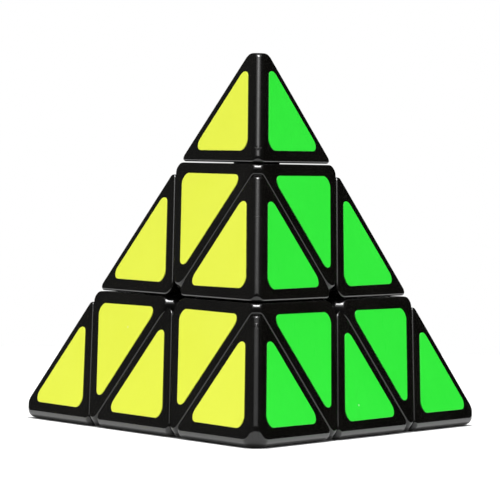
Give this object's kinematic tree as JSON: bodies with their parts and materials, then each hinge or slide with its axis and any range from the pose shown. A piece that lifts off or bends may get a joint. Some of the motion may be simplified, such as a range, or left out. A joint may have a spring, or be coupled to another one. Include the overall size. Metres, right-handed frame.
{
  "type": "pyramid twisty puzzle",
  "caption": "Tetrahedral twisty puzzle: black mouldings with bright triangular stickers, turning layers and turning tips on a spring-loaded inner core.",
  "frame": {"origin": "middle of the core, where the four turning axes meet; also the centroid of the puzzle", "axes": "+Z along the axis of the top tip; -Z is the outward normal of the blue base; the edge between the yellow and green faces points to -Y"},
  "size_m": [0.096, 0.0837, 0.0787],
  "materials": {
    "black_plastic": "glossy injection-moulded black ABS with fine scuffs",
    "inner_plastic": "satin dark grey moulding with a film of grease",
    "core_plastic": "satin grey nylon",
    "screw_steel": "zinc-plated steel",
    "spring_steel": "drawn spring wire",
    "sticker_yellow": "bright fluorescent yellow vinyl, satin gloss",
    "sticker_green": "bright fluorescent green vinyl, satin gloss",
    "sticker_red": "bright red vinyl, satin gloss",
    "sticker_blue": "bright blue vinyl, satin gloss"
  },
  "bodies": {
    "core": {"core": "core_plastic", "axis_screws": "screw_steel", "axis_springs": "spring_steel", "spring_washers": "screw_steel"},
    "axial_top": {"axial_shell_top": "black_plastic", "axial_stem_top": "inner_plastic", "yellow_axial_top": "sticker_yellow", "green_axial_top": "sticker_green", "red_axial_top": "sticker_red"},
    "axial_front": {"axial_shell_front": "black_plastic", "axial_stem_front": "inner_plastic", "yellow_axial_front": "sticker_yellow", "green_axial_front": "sticker_green", "blue_axial_front": "sticker_blue"},
    "axial_right": {"axial_shell_right": "black_plastic", "axial_stem_right": "inner_plastic", "green_axial_right": "sticker_green", "red_axial_right": "sticker_red", "blue_axial_right": "sticker_blue"},
    "axial_left": {"axial_shell_left": "black_plastic", "axial_stem_left": "inner_plastic", "yellow_axial_left": "sticker_yellow", "red_axial_left": "sticker_red", "blue_axial_left": "sticker_blue"},
    "tip_top": {"tip_cap_top": "black_plastic", "yellow_tip_top": "sticker_yellow", "green_tip_top": "sticker_green", "red_tip_top": "sticker_red"},
    "tip_front": {"tip_cap_front": "black_plastic", "yellow_tip_front": "sticker_yellow", "green_tip_front": "sticker_green", "blue_tip_front": "sticker_blue"},
    "tip_right": {"tip_cap_right": "black_plastic", "green_tip_right": "sticker_green", "red_tip_right": "sticker_red", "blue_tip_right": "sticker_blue"},
    "tip_left": {"tip_cap_left": "black_plastic", "yellow_tip_left": "sticker_yellow", "red_tip_left": "sticker_red", "blue_tip_left": "sticker_blue"},
    "edge_top_front": {"edge_piece_top_front": "black_plastic", "yellow_edge_top_front": "sticker_yellow", "green_edge_top_front": "sticker_green"},
    "edge_top_right": {"edge_piece_top_right": "black_plastic", "green_edge_top_right": "sticker_green", "red_edge_top_right": "sticker_red"},
    "edge_top_left": {"edge_piece_top_left": "black_plastic", "yellow_edge_top_left": "sticker_yellow", "red_edge_top_left": "sticker_red"},
    "edge_front_right": {"edge_piece_front_right": "black_plastic", "green_edge_front_right": "sticker_green", "blue_edge_front_right": "sticker_blue"},
    "edge_right_left": {"edge_piece_right_left": "black_plastic", "red_edge_right_left": "sticker_red", "blue_edge_right_left": "sticker_blue"},
    "edge_front_left": {"edge_piece_front_left": "black_plastic", "yellow_edge_front_left": "sticker_yellow", "blue_edge_front_left": "sticker_blue"}
  },
  "joints": [
    {"name": "layer_top", "type": "hinge", "parent": "core", "child": "axial_top", "pos_m": [0, 0, 0], "axis": [0, 0, 1], "range_deg": [-240, 120]},
    {"name": "layer_front", "type": "hinge", "parent": "core", "child": "axial_front", "pos_m": [0, 0, 0], "axis": [0, -0.9428, -0.3333], "range_deg": [-240, 120]},
    {"name": "layer_right", "type": "hinge", "parent": "core", "child": "axial_right", "pos_m": [0, 0, 0], "axis": [0.8165, 0.4714, -0.3333], "range_deg": [-240, 120]},
    {"name": "layer_left", "type": "hinge", "parent": "core", "child": "axial_left", "pos_m": [0, 0, 0], "axis": [-0.8165, 0.4714, -0.3333], "range_deg": [-240, 120]},
    {"name": "tip_turn_top", "type": "hinge", "parent": "axial_top", "child": "tip_top", "pos_m": [0, 0, 0], "axis": [0, 0, 1], "continuous": true},
    {"name": "tip_turn_front", "type": "hinge", "parent": "axial_front", "child": "tip_front", "pos_m": [0, 0, 0], "axis": [0, -0.9428, -0.3333], "continuous": true},
    {"name": "tip_turn_right", "type": "hinge", "parent": "axial_right", "child": "tip_right", "pos_m": [0, 0, 0], "axis": [0.8165, 0.4714, -0.3333], "continuous": true},
    {"name": "tip_turn_left", "type": "hinge", "parent": "axial_left", "child": "tip_left", "pos_m": [0, 0, 0], "axis": [-0.8165, 0.4714, -0.3333], "continuous": true},
    {"name": "edge_top_front_turn", "type": "hinge", "parent": "axial_top", "child": "edge_top_front", "pos_m": [0, 0, 0], "axis": [0, -0.9428, -0.3333], "range_deg": [-240, 120]},
    {"name": "edge_top_right_turn", "type": "hinge", "parent": "axial_top", "child": "edge_top_right", "pos_m": [0, 0, 0], "axis": [0.8165, 0.4714, -0.3333], "range_deg": [-240, 120]},
    {"name": "edge_top_left_turn", "type": "hinge", "parent": "axial_top", "child": "edge_top_left", "pos_m": [0, 0, 0], "axis": [-0.8165, 0.4714, -0.3333], "range_deg": [-240, 120]},
    {"name": "edge_front_right_turn", "type": "hinge", "parent": "axial_front", "child": "edge_front_right", "pos_m": [0, 0, 0], "axis": [0.8165, 0.4714, -0.3333], "range_deg": [-240, 120]},
    {"name": "edge_right_left_turn", "type": "hinge", "parent": "axial_right", "child": "edge_right_left", "pos_m": [0, 0, 0], "axis": [-0.8165, 0.4714, -0.3333], "range_deg": [-240, 120]},
    {"name": "edge_front_left_turn", "type": "hinge", "parent": "axial_left", "child": "edge_front_left", "pos_m": [0, 0, 0], "axis": [0, -0.9428, -0.3333], "range_deg": [-240, 120]}
  ],
  "couplings": [
    {"joint": "edge_top_front_turn", "follows": "layer_front", "ratio": 1},
    {"joint": "edge_top_right_turn", "follows": "layer_right", "ratio": 1},
    {"joint": "edge_top_left_turn", "follows": "layer_left", "ratio": 1},
    {"joint": "edge_front_right_turn", "follows": "layer_right", "ratio": 1},
    {"joint": "edge_right_left_turn", "follows": "layer_left", "ratio": 1},
    {"joint": "edge_front_left_turn", "follows": "layer_front", "ratio": 1}
  ]
}
